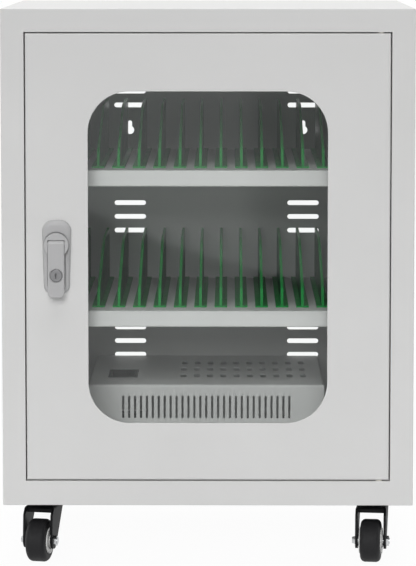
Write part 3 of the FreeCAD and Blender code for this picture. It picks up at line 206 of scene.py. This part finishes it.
paper_reach = 2.6
paper_glow = 1.02
glow_share = 0.94
paper_mesh = bpy.data.meshes.new("paper_floor")
paper_corners = [(x * paper_reach, y * paper_reach, 0) for x, y in ((-1, -1), (1, -1), (1, 1), (-1, 1))]
paper_mesh.from_pydata(paper_corners, [], [(0, 1, 2, 3)])
paper_floor = add_object("paper_floor", paper_mesh)
paper, wire = new_finish("paper")
looks = wire.ray("Is Camera Ray").larger(wire.ray("Is Glossy Ray"))
looks = looks.larger(wire.ray("Is Transmission Ray"))
matt = wire.node("ShaderNodeBsdfPrincipled", {}, {
    "Base Color": wire.noise(scale=400).blend((0.68, 0.68, 0.68, 1), (0.72, 0.72, 0.72, 1)),
    "Roughness": 0.9})
white = wire.node("ShaderNodeEmission", {}, {"Strength": paper_glow})
show(wire, wire.node("ShaderNodeMixShader", {}, {0: looks * glow_share, 1: matt, 2: white}))
paper_mesh.materials.append(paper)


# Steel body: folded mild-steel sheet, spot-welded and ground flush at the frame corners,
# then sprayed with a light grey satin powder coat that leaves a fine even texture.

def dress(material, slot, *nodes):
    """Gives CAD nodes a finish."""
    for name in nodes:
        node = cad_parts[name]
        if not node.material_slots:
            node.data.materials.append(material)
        for holder in node.material_slots:
            holder.link = "OBJECT"
            holder.material = material


def powder_coat(name, pale, dark, gloss=0.5, sheen=0.3):
    """Sprayed powder: clouds of slightly uneven film, and a fine pimpled skin."""
    made, wire = new_finish(name)
    clouds = wire.noise(scale=7, detail=3)
    specks = wire.noise(scale=1400)
    skin = wire.noise(scale=620, detail=3)
    show(wire, wire.node("ShaderNodeBsdfPrincipled", {}, {
        "Base Color": (clouds * 0.75 + specks * 0.25).spread().blend(dark, pale),
        "Roughness": clouds.spread(gloss - 0.05, gloss + 0.06),
        "Specular IOR Level": sheen,
        "Normal": wire.bump(skin, depth=0.00004, strength=0.5)}))
    return made


body_paint = powder_coat("body_paint", pale=(0.765, 0.765, 0.76, 1), dark=(0.73, 0.73, 0.725, 1))
dress(body_paint, "body_paint", "side_panel_left", "side_panel_right", "top_panel", "bottom_panel")
dress(body_paint, "body_paint", "back_panel")


# Back screws: zinc-plated pan heads with a cross recess, driven through the back flanges into the
# back panel, and two more beside the mains inlet. No two crosses stand at the same angle.

def plated(name, pale, dark, gloss):
    """Metal with a thin plated skin, a little clouded and scuffed."""
    made, wire = new_finish(name)
    clouds = wire.noise(scale=120, detail=4)
    scuffs = wire.noise(scale=900, spot=wire.stretched((1, 1, 0.06)))
    show(wire, wire.node("ShaderNodeBsdfPrincipled", {}, {
        "Base Color": clouds.blend(dark, pale),
        "Metallic": 1.0,
        "Roughness": (clouds * 0.6 + scuffs * 0.4).spread(gloss - 0.06, gloss + 0.1),
        "Normal": wire.bump(scuffs, depth=0.00002, strength=0.4)}))
    return made


plated_steel = plated("plated_steel", pale=(0.66, 0.67, 0.68, 1), dark=(0.50, 0.51, 0.52, 1), gloss=0.3)


def grow(name, tree, points, settings):
    """A plain mesh piece that a geometry tree makes from points, with the tree's inputs by name."""
    seeds = bpy.data.meshes.new(name)
    seeds.from_pydata(points, [], [])
    piece = add_object(name, seeds)
    growth = piece.modifiers.new("growth", "NODES")
    growth.node_group = tree
    for socket in tree.interface.items_tree:
        if socket.in_out == "INPUT" and socket.name in settings:
            growth[socket.identifier] = settings[socket.name]
    grown = piece.evaluated_get(bpy.context.evaluated_depsgraph_get())
    plain = bpy.data.meshes.new_from_object(grown)
    piece.modifiers.remove(growth)
    piece.data = plain
    bpy.data.meshes.remove(seeds)
    plain.name = name
    return piece


rim_sides = 28
drum_share = 0.9
crown_steps = ((0.25, 0.9), (0.18, 0.78), (0.07, 0.6))
recess_reach = 1.05
recess_bar_share = 1.2
twist_seed = 4
random_high_socket = 3
random_value_socket = 1

screw_tree = bpy.data.node_groups.new("screw_heads", "GeometryNodeTree")
for label, kind in (("Geometry", "Geometry"), ("Head Radius", "Float"), ("Head Height", "Float"),
                    ("Recess Width", "Float"), ("Facing", "Vector"), ("Material", "Material")):
    screw_tree.interface.new_socket(label, in_out="INPUT", socket_type="NodeSocket" + kind)
screw_tree.interface.new_socket("Geometry", in_out="OUTPUT", socket_type="NodeSocketGeometry")
given = Wire(screw_tree).node("NodeGroupInput")
head_radius = given.also("Head Radius")
head_height = given.also("Head Height")
recess_width = given.also("Recess Width")

crown = given.node("GeometryNodeMeshCylinder", {"fill_type": "NGON"}, {
    "Vertices": rim_sides, "Radius": head_radius, "Depth": head_height * drum_share})
lid = crown.also("Top")
for rise, narrowing in crown_steps:
    crown = given.node("GeometryNodeExtrudeMesh", {}, {
        "Mesh": crown, "Selection": lid, "Offset Scale": head_height * rise})
    lid = crown.also("Top")
    crown = given.node("GeometryNodeScaleElements", {}, {
        "Geometry": crown, "Selection": lid, "Scale": narrowing})

recess_length = head_radius * recess_reach
recess_bars = []
for long, wide in ((recess_length, recess_width), (recess_width, recess_length)):
    bar = given.node("GeometryNodeMeshCube", {}, {"Size": given.node("ShaderNodeCombineXYZ", {}, {
        "X": long, "Y": wide, "Z": head_height * recess_bar_share})})
    lift = given.node("ShaderNodeCombineXYZ", {}, {"Z": head_height})
    recess_bars.append(given.node("GeometryNodeTransform", {}, {"Geometry": bar, "Translation": lift}))
recess = given.node("GeometryNodeMeshBoolean", {"operation": "UNION", "solver": "EXACT"}, {
    "Mesh 2": recess_bars[0]})
screw_tree.links.new(recess_bars[1].socket, recess.socket.node.inputs["Mesh 2"])
head = given.node("GeometryNodeMeshBoolean", {"operation": "DIFFERENCE", "solver": "EXACT"}, {
    "Mesh 1": crown, "Mesh 2": recess})

driven = given.node("GeometryNodeInstanceOnPoints", {}, {
    "Points": given, "Instance": head, "Rotation": given.also("Facing")})
twist = given.node("FunctionNodeRandomValue", {"data_type": "FLOAT"}, {
    random_high_socket: math.pi / 2, "Seed": twist_seed}, random_value_socket)
turned = given.node("GeometryNodeRotateInstances", {}, {
    "Instances": driven, "Rotation": given.node("ShaderNodeCombineXYZ", {}, {"Z": twist})})
whole = given.node("GeometryNodeRealizeInstances", {}, {"Geometry": turned})
given.node("NodeGroupOutput", {}, {"Geometry": given.node("GeometryNodeSetMaterial", {}, {
    "Geometry": whole, "Material": given.also("Material")})})

head_rise = 0.62
recess_share = 0.3


def drive_screws(name, places, facing, radius):
    """Pan-head screws at places on the cabinet, their heads facing away from it."""
    screws = grow(name, screw_tree, places, {
        "Head Radius": radius, "Head Height": radius * head_rise, "Recess Width": radius * recess_share,
        "Facing": facing, "Material": plated_steel})
    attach(screws, "cabinet")


def shared_out(low, high, count):
    """The middles of equal shares of the way from low to high."""
    return [low + (high - low) * (step + 0.5) / count for step in range(count)]


sheet_screw_radius = 0.0035
back_flange = 0.020
upright_screws = 5
level_screws = 4
facing_back = (-math.pi / 2, 0, 0)
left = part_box("side_panel_left")[0][0]
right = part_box("side_panel_right")[1][0]
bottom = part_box("bottom_panel")[0][2]
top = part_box("top_panel")[1][2]
flange_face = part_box("side_panel_left")[1][1]
flange_spots = []
for up in shared_out(bottom, top, upright_screws):
    flange_spots.append((left + back_flange / 2, flange_face, up))
    flange_spots.append((right - back_flange / 2, flange_face, up))
for along in shared_out(left, right, level_screws):
    flange_spots.append((along, flange_face, bottom + back_flange / 2))
    flange_spots.append((along, flange_face, top - back_flange / 2))
drive_screws("back_screws", flange_spots, facing_back, sheet_screw_radius)

inlet_screw_radius = 0.0028
inlet_ear = 0.011
panel_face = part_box("back_panel")[1][1]
inlet_low, inlet_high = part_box("mains_inlet")
inlet_middle = (inlet_low[2] + inlet_high[2]) / 2
ear_spots = [(inlet_low[0] + inlet_ear / 2, panel_face, inlet_middle),
             (inlet_high[0] - inlet_ear / 2, panel_face, inlet_middle)]
drive_screws("inlet_screws", ear_spots, facing_back, inlet_screw_radius)


# Shelves: two folded steel sheets with a lip along the front, lying on angle rails that are
# welded to the sides. They are sprayed with the body, in the same paint.

dress(body_paint, "body_paint", "shelf_upper", "shelf_lower", "shelf_rails")


# Phone dividers: blades of moulded green plastic, each with its own base, clipped to the shelf.
# Their flat side faces are smooth and carry painted shade that makes them dark green; the edges keep
# the plastic's bright green.

divider_plastic, wire = new_finish("divider_plastic")
# Side faces, whose normal lies near the X axis, take a darker green. This is painted shade, because the
# lamps light them less than the edges.
face_lean = math.radians(45)
across = wire.place("Normal").part("X")
painted_shade_sides = (across * across) > math.cos(face_lean) ** 2
cloud = wire.noise(scale=60, detail=3)
edge_green = cloud.blend((0.014, 0.26, 0.055, 1), (0.024, 0.32, 0.075, 1))
painted_shade_green = cloud.blend((0.012, 0.130, 0.048, 1), (0.018, 0.155, 0.058, 1))
show(wire, wire.node("ShaderNodeBsdfPrincipled", {}, {
    "Base Color": painted_shade_sides.blend(edge_green, painted_shade_green),
    "Roughness": cloud.spread(0.32, 0.42),
    "Specular IOR Level": 0.08,
    "Normal": wire.bump(wire.noise(scale=180), depth=0.00003, strength=0.3)}))
dress(divider_plastic, "divider_plastic", "dividers_upper", "dividers_lower")


# Power box: a slotted steel cover, sprayed like the body and screwed down by its feet over the supply,
# in a bare case of rolled metal, and the moulded charging hub. A moulded liner sits in its cable port,
# and a mains inlet in the back panel.

dress(body_paint, "body_paint", "power_cover")

box_foot = 0.012
sheet_thickness = 0.0012
foot_screws = 3
facing_up = (0, 0, 0)
box_low, box_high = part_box("power_cover")
foot_top = box_low[2] + sheet_thickness
foot_spots = []
for deep in shared_out(box_low[1], box_high[1], foot_screws):
    foot_spots.append((box_low[0] + box_foot / 2, deep, foot_top))
    foot_spots.append((box_high[0] - box_foot / 2, deep, foot_top))
drive_screws("box_screws", foot_spots, facing_up, sheet_screw_radius)

black_plastic, wire = new_finish("black_plastic")
pebbles = wire.noise(scale=900)
show(wire, wire.node("ShaderNodeBsdfPrincipled", {}, {
    "Base Color": pebbles.blend((0.015, 0.015, 0.016, 1), (0.026, 0.026, 0.027, 1)),
    "Roughness": pebbles.spread(0.42, 0.55),
    "Normal": wire.bump(pebbles, depth=0.00005, strength=0.6)}))
dress(black_plastic, "black_plastic", "cable_port_liner", "usb_hub", "mains_inlet")

supply_case, wire = new_finish("supply_case")
rolled = wire.noise(scale=40, detail=4, spot=wire.stretched((1, 40, 1)))
show(wire, wire.node("ShaderNodeBsdfPrincipled", {}, {
    "Base Color": rolled.blend((0.45, 0.45, 0.46, 1), (0.56, 0.56, 0.57, 1)),
    "Metallic": 1.0,
    "Roughness": rolled.spread(0.3, 0.42)}))
dress(supply_case, "supply_case", "power_supply")


# Door: one folded sheet with a round-cornered window, hung on two pins in nylon washers. Clear glass is
# held behind it by bent, zinc-plated clips, and it closes against rubber bumpers on the frame.

dress(body_paint, "body_paint", "door_panel")

face_on_shine = 0.032
edge_on_power = 5
window_glass, wire = new_finish("window_glass")
smears = wire.noise(scale=9, detail=5).span(0.45, 0.75)
clear = wire.node("ShaderNodeBsdfTransparent", {}, {"Color": (0.98, 0.988, 0.984, 1)})
shine = wire.node("ShaderNodeBsdfPrincipled", {}, {
    "Base Color": smears.blend((0.75, 0.78, 0.77, 1), (0.82, 0.84, 0.83, 1)),
    "Metallic": 1.0,
    "Roughness": smears.span(0.0, 1.0, 0.02, 0.08)})
edge_on = wire.node("ShaderNodeLayerWeight", {}, {"Blend": 0.5}).also("Facing")
mirror = face_on_shine + (1 - face_on_shine) * edge_on ** edge_on_power
show(wire, wire.node("ShaderNodeMixShader", {}, {0: mirror, 1: clear, 2: shine}))
dress(window_glass, "window_glass", "window_glass")
dress(plated_steel, "plated_steel", "glass_clips", "hinge_pins")


def moulded(name, pale, dark, gloss, grain, depth, sheen=0.5):
    """Plain moulded plastic or rubber with a spark-eroded grain."""
    made, wire = new_finish(name)
    pebbles = wire.noise(scale=grain, detail=3)
    clouds = wire.noise(scale=35, detail=3)
    show(wire, wire.node("ShaderNodeBsdfPrincipled", {}, {
        "Base Color": (clouds * 0.6 + pebbles * 0.4).spread().blend(dark, pale),
        "Roughness": clouds.spread(gloss - 0.05, gloss + 0.07),
        "Specular IOR Level": sheen,
        "Normal": wire.bump(pebbles, depth, strength=0.6)}))
    return made


nylon = moulded(
    "nylon", pale=(0.72, 0.70, 0.64, 1), dark=(0.64, 0.62, 0.56, 1),
    gloss=0.45, grain=800, depth=0.00003)
dress(nylon, "nylon", "hinge_washers")
bumper_rubber = moulded(
    "bumper_rubber", pale=(0.035, 0.035, 0.036, 1), dark=(0.02, 0.02, 0.021, 1),
    gloss=0.7, grain=700, depth=0.00006)
dress(bumper_rubber, "bumper_rubber", "door_bumpers")


# Swing-handle lock: a die-cast housing, sprayed silver grey and clamped through the door by a nut. It
# holds a turret, a lever that lifts on a pin, a key cylinder in the lever and a cam behind the frame.

lock_coat = powder_coat(
    "lock_coat", pale=(0.52, 0.52, 0.525, 1), dark=(0.47, 0.47, 0.475, 1), gloss=0.36)
dress(lock_coat, "lock_coat", "lock_housing", "lock_spindle", "lock_lever")
lock_plug = plated("lock_plug", pale=(0.24, 0.24, 0.245, 1), dark=(0.18, 0.18, 0.185, 1), gloss=0.42)
dress(lock_plug, "lock_plug", "key_cylinder")
dress(plated_steel, "plated_steel", "lock_nut", "lock_cam", "cam_screw", "lever_pin")


# Casters: a pressed plate bolted under the body and a bent fork that swivels on it, both sprayed black.
# A pale moulded hub and a black tyre turn on a zinc-plated bolt with a domed head and a hexagon nut.

fork_paint = powder_coat(
    "fork_paint", pale=(0.008, 0.008, 0.009, 1), dark=(0.005, 0.005, 0.006, 1), sheen=0.14)
hub_plastic = moulded(
    "hub_plastic", pale=(0.82, 0.82, 0.81, 1), dark=(0.75, 0.75, 0.74, 1),
    gloss=0.42, grain=500, depth=0.00003)
tyre_rubber = moulded(
    "tyre_rubber", pale=(0.015, 0.015, 0.0165, 1), dark=(0.008, 0.008, 0.009, 1),
    gloss=0.62, grain=600, depth=0.00005, sheen=0.3)
for corner in ("front_left", "front_right", "rear_left", "rear_right"):
    dress(fork_paint, "fork_paint", "caster_plate_" + corner, "fork_" + corner)
    dress(plated_steel, "plated_steel", "axle_" + corner)
    dress(hub_plastic, "hub_plastic", "hub_" + corner)
    dress(tyre_rubber, "tyre", "tyre_" + corner)
dress(plated_steel, "plated_steel", "caster_bolts")
